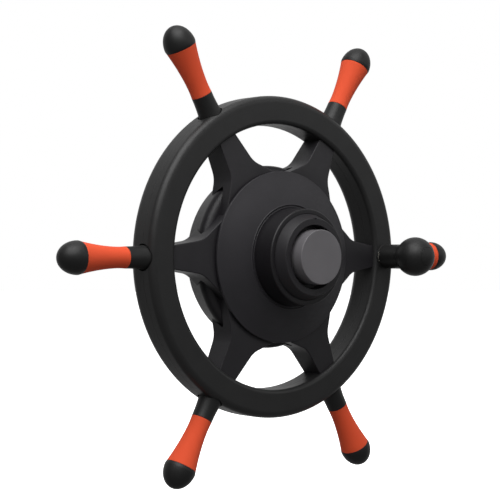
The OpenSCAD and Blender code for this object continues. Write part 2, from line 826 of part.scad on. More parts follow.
// Egg-shaped tip with a stem that plugs the core tube over the bolt's head
module grip_end_cap(i) color([0.10, 0.10, 0.10]) on_spoke(i) {
    steps = 14;
    widest = sleeve_end + cap_swell;
    rotate_extrude() polygon(concat(
        [[0, sleeve_end], [sleeve_end_r + 0.15, sleeve_end]],
        [for (k = [0 : steps])
            let (a = k * 90 / steps) [cap_max_r * cos(a), widest + (tip_end - widest) * sin(a)]]
    ));
    translate([0, 0, sleeve_end - cap_stem]) cylinder(r = head_pocket_r - 0.1, h = cap_stem + overcut);
}

module grip_bolts() color("silver") {
    shank_end = tenon_nut_at - 1;
    for (i = [1 : spoke_count]) on_spoke(i) difference() {
        union() {
            translate([0, 0, shank_end]) cylinder(r = grip_bolt_r, h = head_seat - shank_end + hair);
            translate([0, 0, head_seat]) cylinder(r = bolt_head_r, h = bolt_head_t);
        }
        translate([0, 0, head_seat + bolt_head_t / 2]) cylinder(r = hex_key_r, h = bolt_head_t, $fn = 6);
    }
}

module grip_nuts() color("silver") {
    for (i = [1 : spoke_count]) on_spoke(i) rotate([0, 0, 30])
        hex_nut(tenon_nut_af, grip_bolt_r + thread_gap, tenon_nut_at + fit_gap / 2, tenon_nut_t);
}

module on_knob() {
    on_axle() translate([knob_at, 0, 0]) children();
}

module knob_bolt() color("silver") on_knob() {
    thread_end = rim_front - rim_wall - knob_nut_t + fit_gap;
    head_at = knob_pocket + knob_head_gap;
    difference() {
        union() {
            translate([0, 0, knob_boss_top]) cylinder(r = knob_bolt_r, h = head_at - knob_boss_top);
            translate([0, 0, thread_end]) cylinder(r = knob_thread_r, h = knob_boss_top - thread_end + hair);
            translate([0, 0, head_at]) cylinder(r = knob_head_r, h = knob_head_t);
        }
        translate([0, 0, head_at + 1.5]) cylinder(r = knob_thread_r, h = knob_head_t, $fn = 6);
    }
}

module knob_nut() color("silver") on_knob() {
    hex_nut(knob_nut_af, knob_thread_r + thread_gap, rim_front - rim_wall - knob_nut_t, knob_nut_t);
}

module knob_washer() color("ivory") on_knob() {
    washer_back = knob_boss_top + run_gap;
    tube(knob_neck_r - 1.5, knob_bolt_r + washer_play, washer_back, washer_back + knob_washer_t);
}

// Neck, concave blend and ball as one turned outline
module knob_body() color([0.20, 0.20, 0.21]) on_knob() {
    // The blend circle touches the neck from outside and the ball
    blend_x = knob_neck_r + knob_blend_r;
    blend_z = ball_at - sqrt(pow(ball_r + knob_blend_r, 2) - blend_x * blend_x);
    blend = [blend_x, blend_z];
    touch = blend + ([0, ball_at] - blend) * knob_blend_r / (ball_r + knob_blend_r);
    difference() {
        rotate_extrude() difference() {
            union() {
                translate([0, knob_foot]) square([knob_neck_r, ball_at - knob_foot]);
                polygon([[0, blend_z], [blend_x, blend_z], touch, [0, ball_at]]);
                intersection() {
                    translate([0, ball_at]) circle(r = ball_r);
                    translate([0, ball_at - ball_r]) square([ball_r, 2 * ball_r]);
                }
            }
            translate(blend) circle(r = knob_blend_r);
        }
        translate([0, 0, knob_foot - overcut]) cylinder(r = knob_bush_r, h = ball_r * 6);
        translate([0, 0, knob_pocket]) cylinder(r = knob_pocket_r, h = ball_r * 2);
    }
}

module knob_bush() color("ivory") on_knob() {
    tube(knob_bush_r, knob_bolt_r + run_fit, knob_foot, knob_pocket);
}

module knob_plug() color([0.20, 0.20, 0.21]) on_knob() {
    intersection() {
        translate([0, 0, ball_at]) sphere(r = ball_r);
        translate([0, 0, ball_at + ball_r - knob_plug_t])
            cylinder(r = knob_pocket_r - thread_gap, h = knob_plug_t + overcut);
    }
}

mounting_base();
threaded_inserts();
spindle();
rear_thrust_washer();
front_thrust_washer();
spindle_washer();
spindle_nut();
hub_drum();
spoke_star();
star_screws();
hub_back_cover();
back_cover_screws();
rear_bush();
front_bush();
hub_cover();
hub_cover_screws();
collar();
cap_ring();
centre_cap();
rim_front_shell();
rim_rear_shell();
rim_screws();
grip_bolts();
grip_nuts();
for (i = [1 : spoke_count]) {
    grip_core(i);
    grip_sleeve(i);
    grip_end_cap(i);
}
knob_bolt();
knob_nut();
knob_washer();
knob_body();
knob_bush();
knob_plug();
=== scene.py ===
"""Looks of a playground ship's steering wheel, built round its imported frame.

The wheel turns about the Y axis and its front looks along -Y. Sub-assemblies
draw in axle space, in metres: x to the right, y up, and z from the panel to
the front. AXLE turns axle space into the frame's own axes.
"""

import logging
import math
from abc import ABC, abstractmethod
from collections.abc import Callable, Iterable, Sequence
from dataclasses import dataclass, field
from enum import Enum

import bmesh
import bpy
from mathutils import Matrix, Vector


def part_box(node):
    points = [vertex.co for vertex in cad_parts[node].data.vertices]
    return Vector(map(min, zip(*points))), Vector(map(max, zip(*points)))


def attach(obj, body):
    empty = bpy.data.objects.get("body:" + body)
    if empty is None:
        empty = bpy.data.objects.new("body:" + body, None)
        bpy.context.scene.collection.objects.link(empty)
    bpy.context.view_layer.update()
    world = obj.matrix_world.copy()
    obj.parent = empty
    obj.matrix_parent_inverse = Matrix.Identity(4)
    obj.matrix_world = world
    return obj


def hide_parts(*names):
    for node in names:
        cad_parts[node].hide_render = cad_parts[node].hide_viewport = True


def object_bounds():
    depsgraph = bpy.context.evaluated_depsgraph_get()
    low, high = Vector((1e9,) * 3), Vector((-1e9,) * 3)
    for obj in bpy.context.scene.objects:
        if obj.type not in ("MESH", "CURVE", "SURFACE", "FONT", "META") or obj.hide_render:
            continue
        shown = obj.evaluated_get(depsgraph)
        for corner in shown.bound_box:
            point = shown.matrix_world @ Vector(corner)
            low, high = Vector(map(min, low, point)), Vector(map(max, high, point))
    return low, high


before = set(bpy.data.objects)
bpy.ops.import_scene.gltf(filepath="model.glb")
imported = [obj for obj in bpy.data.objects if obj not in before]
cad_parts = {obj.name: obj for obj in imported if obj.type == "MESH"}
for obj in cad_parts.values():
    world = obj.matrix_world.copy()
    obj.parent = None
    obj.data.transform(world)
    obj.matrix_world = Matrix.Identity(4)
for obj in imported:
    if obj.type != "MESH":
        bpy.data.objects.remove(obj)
CAD_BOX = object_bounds()

LOG = logging.getLogger("ship_wheel")
MM = 0.001
AXLE = Matrix.Rotation(math.pi / 2, 4, "X")
SPOKES = 6
SPOKE_STEP = math.tau / SPOKES

Point = tuple[float, float]
Colour = tuple[float, float, float]


class Body(Enum):
    """Bodies of the frame that a piece can ride on."""

    BASE = "base"
    WHEEL = "wheel"
    KNOB = "knob"


class Slot(Enum):
    """Material slots of the record."""

    RIM = "rim_plastic"
    HUB = "hub_plastic"
    HANDLE = "handle_plastic"
    GRIP = "grip_orange"
    CAP = "cap_plastic"
    STEEL = "steel"
    BEARING = "bearing_plastic"
    BRASS = "brass"


class Drive(Enum):
    """Shapes of the pocket in a screw's head, as their number of sides."""

    HEX = 6


# Finishes


class NodeSheet:
    """Short ways to lay out the nodes of one material."""

    def __init__(self, name: str) -> None:
        """Starts a material with one shader on it.

        Args:
            name: Name of the material.
        """
        self.material = bpy.data.materials.new(name)
        self.material.use_nodes = True
        self.tree = self.material.node_tree
        self.shader = self.tree.nodes["Principled BSDF"]
        self.place = self.tree.nodes.new("ShaderNodeTexCoord").outputs["Object"]

    def stretched(self, scale: tuple[float, float, float]) -> bpy.types.NodeSocket:
        """Gives the place scaled along each axis.

        Args:
            scale: Factors along x, y and z.

        Returns:
            The scaled coordinates.
        """
        mapping = self.tree.nodes.new("ShaderNodeMapping")
        mapping.inputs["Scale"].default_value = scale
        self.tree.links.new(self.place, mapping.inputs["Vector"])
        return mapping.outputs["Vector"]

    def noise(
        self, size: float, detail: float = 2.0, at: bpy.types.NodeSocket | None = None
    ) -> bpy.types.NodeSocket:
        """Adds a noise whose blotches have the given size.

        Args:
            size: Width of a blotch in metres.
            detail: Number of finer layers.
            at: Coordinates, or None for the plain place.

        Returns:
            The noise, from 0 to 1.
        """
        node = self.tree.nodes.new("ShaderNodeTexNoise")
        node.inputs["Scale"].default_value = 1 / size
        node.inputs["Detail"].default_value = detail
        self.tree.links.new(at or self.place, node.inputs["Vector"])
        return node.outputs["Fac"]

    def between(self, value: bpy.types.NodeSocket, low: float, high: float) -> bpy.types.NodeSocket:
        """Maps the middle of a noise to a range.

        Args:
            value: The noise.
            low: Result at the noise's dark end.
            high: Result at its light end.

        Returns:
            The mapped value.
        """
        node = self.tree.nodes.new("ShaderNodeMapRange")
        for name, number in zip(("From Min", "From Max", "To Min", "To Max"), (0.3, 0.7, low, high)):
            node.inputs[name].default_value = number
        self.tree.links.new(value, node.inputs["Value"])
        return node.outputs["Result"]

    def tinted(self, value: bpy.types.NodeSocket, colour: Colour, spread: float) -> None:
        """Colours the shader with a soft mottle.

        Args:
            value: Noise that places the mottle.
            colour: Middle colour.
            spread: Share by which the colour falls and rises.
        """
        ramp = self.tree.nodes.new("ShaderNodeValToRGB")
        for element, place, gain in zip(ramp.color_ramp.elements, (0.3, 0.7), (1 - spread, 1 + spread)):
            element.position = place
            element.color = (*(min(1.0, c * gain) for c in colour), 1.0)
        self.tree.links.new(value, ramp.inputs["Fac"])
        self.tree.links.new(ramp.outputs["Color"], self.shader.inputs["Base Color"])

    def rough(self, value: bpy.types.NodeSocket) -> None:
        """Sets the shader's roughness from a value."""
        self.tree.links.new(value, self.shader.inputs["Roughness"])

    def bumped(self, *layers: tuple[bpy.types.NodeSocket, float, float]) -> None:
        """Stacks bumps on the shader's normal.

        Args:
            layers: Each has a height, its depth in metres and its strength.
        """
        under = None
        for height, depth, strength in layers:
            bump = self.tree.nodes.new("ShaderNodeBump")
            bump.inputs["Distance"].default_value = depth
            bump.inputs["Strength"].default_value = strength
            self.tree.links.new(height, bump.inputs["Height"])
            if under is not None:
                self.tree.links.new(under, bump.inputs["Normal"])
            under = bump.outputs["Normal"]
        self.tree.links.new(under, self.shader.inputs["Normal"])

    def fixed(self, **values: float) -> None:
        """Sets uniform values on the shader's own sockets, by their names with underscores."""
        for name, value in values.items():
            self.shader.inputs[name.replace("_", " ")].default_value = value


@dataclass(frozen=True)
class Finish(ABC):
    """A finish that several pieces can share."""

    name: str
    slot: Slot
    colour: Colour
    roughness: float

    @abstractmethod
    def dress(self, sheet: NodeSheet) -> None:
        """Lays out the finish's nodes.

        Args:
            sheet: The material to fill.
        """

    def material(self) -> bpy.types.Material:
        """Gives the material, made at its first use.

        Returns:
            The shared material.
        """
        found = bpy.data.materials.get(self.name)
        if found is None:
            sheet = NodeSheet(self.name)
            self.dress(sheet)
            found = sheet.material
        return found


@dataclass(frozen=True)
class MouldedPlastic(Finish):
    """Moulded plastic with a fine eroded grain, soft sink marks and faint rub marks."""

    grain: float = 0.45 * MM
    grain_depth: float = 0.012 * MM
    mottle: float = 0.10
    specular: float = 0.36

    def dress(self, sheet: NodeSheet) -> None:
        """Lays out grain, mottle and rub marks."""
        grain = sheet.noise(self.grain, 3)
        sink = sheet.noise(38 * MM, 1)
        rubs = sheet.noise(2.2 * MM, 4, sheet.stretched((0.25, 1.0, 0.6)))
        sheet.tinted(sheet.noise(26 * MM, 4), self.colour, self.mottle)
        sheet.rough(sheet.between(rubs, self.roughness - 0.035, self.roughness + 0.045))
        sheet.bumped((sink, 0.12 * MM, 0.25), (grain, self.grain_depth, 0.7))
        sheet.fixed(IOR=1.49, Specular_IOR_Level=self.specular)


@dataclass(frozen=True)
class SoftGrip(Finish):
    """Dyed soft-touch elastomer, velvety and slightly uneven in colour."""

    def dress(self, sheet: NodeSheet) -> None:
        """Lays out the velvet grain and its sheen."""
        pores = sheet.noise(0.32 * MM, 3)
        handling = sheet.noise(9 * MM, 4)
        sheet.tinted(sheet.noise(17 * MM, 3), self.colour, 0.05)
        sheet.rough(sheet.between(handling, self.roughness - 0.04, self.roughness + 0.05))
        sheet.bumped((handling, 0.05 * MM, 0.2), (pores, 0.014 * MM, 0.6))
        sheet.fixed(IOR=1.45, Specular_IOR_Level=0.34, Sheen_Weight=0.04, Sheen_Roughness=0.45)


@dataclass(frozen=True)
class Metal(Finish):
    """Turned or plated metal with tool marks round the wheel's axle."""

    marks: float = 0.5 * MM

    def dress(self, sheet: NodeSheet) -> None:
        """Lays out tool marks and a clouded plating."""
        cloud = sheet.noise(6 * MM, 5)
        lines = sheet.noise(self.marks, 2, sheet.stretched((1.0, 6.0, 1.0)))
        sheet.tinted(cloud, self.colour, 0.07)
        sheet.rough(sheet.between(cloud, self.roughness - 0.06, self.roughness + 0.08))
        sheet.bumped((lines, 0.01 * MM, 0.4))
        sheet.fixed(Metallic=1.0)


RIM_BLACK = MouldedPlastic("rim_black", Slot.RIM, (0.0140, 0.0140, 0.0142), 0.43)
HUB_BLACK = MouldedPlastic("hub_black", Slot.HUB, (0.0150, 0.0140, 0.0162), 0.46)
DOME_BLACK = MouldedPlastic("dome_black", Slot.HUB, (0.0195, 0.0182, 0.0212), 0.50, grain=0.6 * MM)
# Darker than the other blacks: painted shade that stands in for the shadow on the collar's wall. The
# rear cover uses the same darker black.
COLLAR_PAINTED_SHADE_BLACK = MouldedPlastic("collar_black_painted_shade", Slot.HUB, (0.0095, 0.0088, 0.0103), 0.40)
HANDLE_BLACK = MouldedPlastic("handle_black", Slot.HANDLE, (0.0080, 0.0080, 0.0080), 0.47)
CAP_GREY = MouldedPlastic("cap_grey", Slot.CAP, (0.124, 0.119, 0.126), 0.45, mottle=0.05)
GRIP_ORANGE = SoftGrip("grip_orange", Slot.GRIP, (0.95, 0.110, 0.014), 0.52)
ZINC = Metal("zinc_plate", Slot.STEEL, (0.55, 0.56, 0.58), 0.34)
BRASS = Metal("turned_brass", Slot.BRASS, (0.72, 0.50, 0.20), 0.30)
BEARING_WHITE = MouldedPlastic("bearing_white", Slot.BEARING, (0.62, 0.60, 0.53), 0.50, mottle=0.04)


# Mesh work


@dataclass(frozen=True)
class Corner:
    """A corner of an outline, with the radius that rounds it."""

    r: float
    z: float
    round: float = 0.0


def rounded(corners: Sequence[Corner], closed: bool = True, facets: int = 5) -> list[Point]:
    """Turns corners into points, each rounded corner as an arc.

    Args:
        corners: The outline's corners in order.
        closed: Whether the last corner joins the first.
        facets: Steps in each arc.

    Returns:
        The outline's points.
    """
    points: list[Point] = []
    count = len(corners)
    for k, corner in enumerate(corners):
        here = Vector((corner.r, corner.z))
        if corner.round <= 0 or (not closed and k in (0, count - 1)):
            points.append(tuple(here))
            continue
        before, after = corners[k - 1], corners[(k + 1) % count]
        into, out = Vector((before.r, before.z)) - here, Vector((after.r, after.z)) - here
        half = into.angle(out) / 2
        run = min(corner.round / math.tan(half), 0.495 * into.length, 0.495 * out.length)
        radius = run * math.tan(half)
        centre = here + (into.normalized() + out.normalized()).normalized() * radius / math.sin(half)
        first = here + into.normalized() * run - centre
        sweep = first.angle_signed(here + out.normalized() * run - centre)
        for step in range(facets + 1):
            turn = Matrix.Rotation(-sweep * step / facets, 2)
            points.append(tuple(centre + turn @ first))
    return points


def circle_reach(_: float) -> float:
    """Gives the reach of a circle of radius 1 at any angle."""
    return 1.0


def polygon_reach(sides: int) -> Callable[[float], float]:
    """Makes the reach of a regular polygon whose corners lie at radius 1.

    Args:
        sides: Number of sides.

    Returns:
        The reach at an angle.
    """
    part = math.tau / sides

    def reach(angle: float) -> float:
        """Gives the polygon's reach at an angle."""
        return math.cos(part / 2) / math.cos(angle % part - part / 2)

    return reach


def turned(
    mesh: bmesh.types.BMesh,
    outline: Sequence[Point],
    place: Matrix,
    around: int = 96,
    reaches: Sequence[Callable[[float], float]] | None = None,
) -> None:
    """Adds a solid turned about local z to a mesh.

    Args:
        mesh: The mesh to add to.
        outline: Points (radius, z). An outline whose ends lie on the axis is
            open, and any other closes on itself.
        place: Where the solid goes.
        around: Steps round the axis.
        reaches: For each point, its shape round the axis; circles if None.
    """
    rings: list[list[bmesh.types.BMVert]] = []
    for k, (radius, z) in enumerate(outline):
        if radius < 1e-7:
            rings.append([mesh.verts.new(place @ Vector((0, 0, z)))])
            continue
        reach = reaches[k] if reaches else circle_reach
        ring = []
        for step in range(around):
            angle = math.tau * step / around
            far = radius * reach(angle)
            spot = Vector((far * math.cos(angle), far * math.sin(angle), z))
            ring.append(mesh.verts.new(place @ spot))
        rings.append(ring)
    open_outline = len(rings[0]) == 1 and len(rings[-1]) == 1
    pairs = list(zip(rings, rings[1:]))
    if not open_outline:
        pairs.append((rings[-1], rings[0]))
    for a, b in pairs:
        if len(a) == 1 and len(b) == 1:
            continue
        for step in range(around):
            after = (step + 1) % around
            corners = [a[step % len(a)], a[after % len(a)], b[after % len(b)], b[step % len(b)]]
            mesh.faces.new(list(dict.fromkeys(corners)))


def made(mesh: bmesh.types.BMesh, name: str, crease: float = 32.0) -> bpy.types.Object:
    """Turns a mesh into a smooth-shaded object.

    Args:
        mesh: The mesh, which is used up.
        name: Name of the piece.
        crease: Angle in degrees above which an edge stays sharp.

    Returns:
        The new object, linked to the scene.
    """
    bmesh.ops.recalc_face_normals(mesh, faces=mesh.faces)
    data = bpy.data.meshes.new(name)
    mesh.to_mesh(data)
    mesh.free()
    data.shade_smooth()
    data.set_sharp_from_angle(angle=math.radians(crease))
    piece = bpy.data.objects.new(name, data)
    bpy.context.scene.collection.objects.link(piece)
    return piece


def carved(
    piece: bpy.types.Object, operation: str, tool: bmesh.types.BMesh, crease: float = 32.0
) -> None:
    """Cuts a tool out of a piece, or joins it on, for good.

    Args:
        piece: The piece to change.
        operation: DIFFERENCE or UNION.
        tool: Closed mesh of the tool, which is used up.
        crease: Angle in degrees above which an edge stays sharp.
    """
    other = made(tool, "tool")
    modifier = piece.modifiers.new("carve", "BOOLEAN")
    modifier.operation = operation
    modifier.solver = "EXACT"
    modifier.object = other
    bpy.context.view_layer.update()
    result = bpy.data.meshes.new_from_object(piece.evaluated_get(bpy.context.evaluated_depsgraph_get()))
    piece.modifiers.clear()
    bpy.data.objects.remove(other)
    result.shade_smooth()
    result.set_sharp_from_angle(angle=math.radians(crease))
    result.name = piece.name
    piece.data = result


def settled(
    piece: bpy.types.Object, body: Body, finish: Finish,
    nodes: Iterable[str] = (), flat_first: bool = True,
) -> bpy.types.Object:
    """Gives a piece its finish, its body and the nodes that it stands for.

    Args:
        piece: The finished piece.
        body: The body that it rides on.
        finish: Its finish.
        nodes: Names of the nodes that it replaces.
        flat_first: Whether large flat faces lead the shading.

    Returns:
        The piece.
    """
    piece.data.materials.clear()
    piece.data.materials.append(finish.material())
    if flat_first:
        weighted = piece.modifiers.new("flat_first", "WEIGHTED_NORMAL")
        weighted.keep_sharp = True
    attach(piece, body.value)
    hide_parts(*nodes)
    LOG.info("%s: %d faces on %s in %s", piece.name, len(piece.data.polygons), body.value, finish.name)
    return piece


def stations(node: str) -> Point:
    """Reads how far a node's back and front stand ahead of the panel.

    Args:
        node: Name of the node.

    Returns:
        Its back and front station.
    """
    low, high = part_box(node)
    return -high.y, -low.y


def reach_up(node: str) -> float:
    """Reads how far a node reaches above the axle."""
    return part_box(node)[1].z


def spoke_place(index: int) -> Matrix:
    """Gives the place whose local z runs out along a spoke.

    Args:
        index: Number of the spoke, from 0 at three o'clock.

    Returns:
        The placing matrix.
    """
    plane = stations("rim_rear_shell")[1]
    return (
        AXLE
        @ Matrix.Translation((0, 0, plane))
        @ Matrix.Rotation(index * SPOKE_STEP, 4, "Z")
        @ Matrix.Rotation(math.pi / 2, 4, "Y")
    )


def on_circle(radius: float, count: int, first: float, z: float) -> list[Matrix]:
    """Places copies at equal steps round the axle.

    Args:
        radius: Their distance from the axle.
        count: Number of copies.
        first: Angle of the first, in degrees.
        z: Their station.

    Returns:
        One placing matrix for each.
    """
    return [
        AXLE
        @ Matrix.Rotation(math.radians(first) + math.tau * k / count, 4, "Z")
        @ Matrix.Translation((radius, 0, z))
        for k in range(count)
    ]


# Sub-assemblies


class SubAssembly(ABC):
    """A group of pieces that is built and dressed together."""

    @abstractmethod
    def build(self) -> None:
        """Builds the group's pieces."""


@dataclass
class Rim(SubAssembly):
    """The two shells of the rim, with seats for the grips and sunk screws."""

    width: float = 31 * MM
    round_outer_front: float = 12 * MM
    round_outer_back: float = 16 * MM
    round_inner_front: float = 5 * MM
    round_inner_back: float = 11.5 * MM
    seam: float = 0.06 * MM
    seam_edge: float = 0.15 * MM
    seat_radius: float = 14.0 * MM
    seat_depth: float = 6.8 * MM
    boss_radius: float = 13.9 * MM
    boss_height: float = 1.0 * MM
    screw_count: int = 12
    screw_first: float = 15.0
    screw_pit: float = 4.2 * MM
    screw_sink: float = 5.0 * MM
    seat_turn: float = 0.02
    around: int = 288

    def __post_init__(self) -> None:
        """Reads the rim's places from the frame."""
        self.outer = reach_up("rim_rear_shell")
        self.inner = self.outer - self.width
        self.back, self.plane = stations("rim_rear_shell")
        self.front = stations("rim_front_shell")[1] - self.boss_height

    def half(self, sign: int) -> list[Point]:
        """Draws the section of one shell.

        Args:
            sign: 1 for the front shell and -1 for the rear one.

        Returns:
            The section's points.
        """
        far = self.front if sign > 0 else self.back
        outer_round = self.round_outer_front if sign > 0 else self.round_outer_back
        inner_round = self.round_inner_front if sign > 0 else self.round_inner_back
        near = self.plane + sign * self.seam
        return rounded([
            Corner(self.inner, near, self.seam_edge), Corner(self.outer, near, self.seam_edge),
            Corner(self.outer, far, outer_round), Corner(self.inner, far, inner_round),
        ], facets=12)

    def seats(self) -> bmesh.types.BMesh:
        """Draws the six pockets that the grips stand in.

        Returns:
            A mesh of six plugs.
        """
        tool = bmesh.new()
        floor = self.outer - self.seat_depth
        plug = rounded([
            Corner(0, floor), Corner(self.seat_radius, floor),
            Corner(self.seat_radius, self.outer + self.width), Corner(0, self.outer + self.width),
        ], closed=False)
        for k in range(SPOKES):
            turned(tool, plug, spoke_place(k) @ Matrix.Rotation(self.seat_turn, 4, "Z"), 64)
        return tool

    def screw_pits(self) -> bmesh.types.BMesh:
        """Draws the pits that the screws' heads lie in.

        Returns:
            A mesh of twelve plugs.
        """
        tool = bmesh.new()
        middle = (self.outer + self.inner) / 2
        plug = [(0, self.screw_sink), (self.screw_pit, self.screw_sink), (self.screw_pit, -MM), (0, -MM)]
        for place in on_circle(middle, self.screw_count, self.screw_first, self.back):
            turned(tool, plug, place, 40)
        return tool

    def build(self) -> None:
        """Builds the front and the rear shell."""
        for sign, name in ((1, "rim_front_shell"), (-1, "rim_rear_shell")):
            mesh = bmesh.new()
            turned(mesh, self.half(sign), AXLE, self.around)
            shell = made(mesh, name.replace("_shell", ""))
            carved(shell, "DIFFERENCE", self.seats())
            if sign > 0:
                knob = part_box("knob_body")
                boss = bmesh.new()
                top = self.front + self.boss_height
                turned(boss, rounded([
                    Corner(0, self.front - 2 * MM), Corner(self.boss_radius, self.front - 2 * MM),
                    Corner(self.boss_radius, top, 0.4 * MM), Corner(0, top),
                ], closed=False), AXLE @ Matrix.Translation(((knob[0].x + knob[1].x) / 2, 0, 0)), 72)
                carved(shell, "UNION", boss)
            else:
                carved(shell, "DIFFERENCE", self.screw_pits())
            settled(shell, Body.WHEEL, RIM_BLACK, [name])


@dataclass
class SpokeStar(SubAssembly):
    """Six spokes on gussets that meet round the hub cover's skirt."""

    half_rim: float = 12.4 * MM
    half_hub: float = 16.6 * MM
    ahead_rim: float = 11.5 * MM
    behind: float = 16.0 * MM
    flare: float = 25.0 * MM
    lean: float = 40.0
    foot_at: float = 116.5 * MM
    fall_from: float = 101.5 * MM
    bore: float = 84.2 * MM
    meet: float = 88.4 * MM
    drum_play: float = 0.2 * MM
    edge: float = 1.0 * MM
    back_edge: float = 2.0 * MM
    into_rim: float = 0.8 * MM

    def __post_init__(self) -> None:
        """Reads the star's places from the frame."""
        rim = Rim()
        self.rim_inner = rim.inner
        self.plane = rim.plane
        self.front_hub = stations("spoke_star")[1]
        self.slope = (self.half_hub - self.half_rim) / (self.rim_inner - self.foot_at)

    def side(self, x: float) -> float:
        """Gives a spoke's half width at a distance from the axle."""
        return self.half_rim + (self.rim_inner - x) * self.slope

    def half_outline(self) -> list[tuple[Vector, Vector]]:
        """Draws half of one spoke's outline, from its end to where two gussets meet.

        Returns:
            Points in the axle's plane, each with its outward normal.
        """
        lean = math.radians(self.lean)
        steep = math.tan(lean)
        half_step = SPOKE_STEP / 2
        meet = Vector((math.cos(half_step), math.sin(half_step))) * self.meet
        drop = meet.y + meet.x * steep - self.half_rim - self.rim_inner * self.slope
        x = drop / (steep - self.slope)
        across = Vector((self.slope, 1)).normalized()
        off_gusset = Vector((math.sin(lean), math.cos(lean)))
        bisector = (across + off_gusset) * self.flare / (1 + across.dot(off_gusset))
        centre = Vector((x, self.side(x))) + bisector
        end = self.rim_inner + self.into_rim
        start = Vector((end, self.side(end)))
        rows = [(Vector((end, start.y * k / 3)), Vector((1, 0))) for k in range(3)]
        rows += [(start.lerp(centre - across * self.flare, k / 6), across) for k in range(6)]
        turn = across.angle(off_gusset)
        for k in range(13):
            angle = turn * k / 12
            spot = Matrix.Rotation(-angle, 2) @ across
            rows.append((centre - spot * self.flare, spot))
        foot = centre - off_gusset * self.flare
        rows += [(foot.lerp(meet, k / 6), off_gusset) for k in range(1, 6)]
        rows.append((meet, meet.normalized()))
        return rows

    def outline(self) -> list[tuple[Vector, Vector]]:
        """Draws the whole star.

        Returns:
            Points in the axle's plane, each with its outward normal, once round.
        """
        half = self.half_outline()
        flip = Matrix.Scale(-1, 2, (0, 1))
        sector = [(flip @ p, flip @ n) for p, n in reversed(half[1:-1])] + half
        rows = []
        for k in range(SPOKES):
            turn = Matrix.Rotation(k * SPOKE_STEP, 2)
            rows += [(turn @ p, turn @ n) for p, n in sector]
        return rows

    def front_at(self, radius: float) -> float:
        """Gives the star's front station, which falls from the hub to the rim."""
        share = max(0.0, (radius - self.fall_from) / (self.rim_inner - self.fall_from))
        return self.front_hub + (self.plane + self.ahead_rim - self.front_hub) * share

    def build(self) -> None:
        """Builds the star as rings of points, and clears the drum out of it."""
        outline = self.outline()
        steps = 6
        back = self.plane - self.behind

        def row(inset: float, share: float, drop: float, front: bool) -> list[Vector]:
            """Places one ring of points.

            Args:
                inset: How far the ring lies inside the outline.
                share: 1 at the outline and 0 at the bore.
                drop: How far below the face it lies.
                front: Whether it belongs to the front face.

            Returns:
                The points, once round.
            """
            placed = []
            for spot, normal in outline:
                edge = spot - normal * inset
                radius = edge.length * share + self.bore * (1 - share)
                flat = edge.normalized() * radius
                z = self.front_at(radius) - drop if front else back + drop
                placed.append(AXLE @ Vector((flat.x, flat.y, z)))
            return placed

        def bend(size: float, front: bool) -> list[list[Vector]]:
            """Rounds the outer edge between a face and the side wall."""
            turns = [math.radians(90 * k / 4) for k in range(5)]
            rows = [row(size * (1 - math.sin(t)), 1, size * (1 - math.cos(t)), front) for t in turns]
            return rows if front else rows[::-1]

        rows = [row(self.edge, k / steps, 0, True) for k in range(steps)]
        rows += bend(self.edge, True) + bend(self.back_edge, False)
        rows += [row(self.back_edge, k / steps, 0, False) for k in reversed(range(steps))]
        mesh = bmesh.new()
        rings = [[mesh.verts.new(p) for p in points] for points in rows]
        for a, b in zip(rings, rings[1:] + rings[:1]):
            for k in range(len(a)):
                after = (k + 1) % len(a)
                mesh.faces.new((a[k], a[after], b[after], b[k]))
        star = made(mesh, "spokes", 28)
        tool = bmesh.new()
        drum = HubDrum()
        turned(tool, drum.outside(self.drum_play), AXLE, 216)
        carved(star, "DIFFERENCE", tool, 28)
        settled(star, Body.WHEEL, HUB_BLACK, ["spoke_star"])


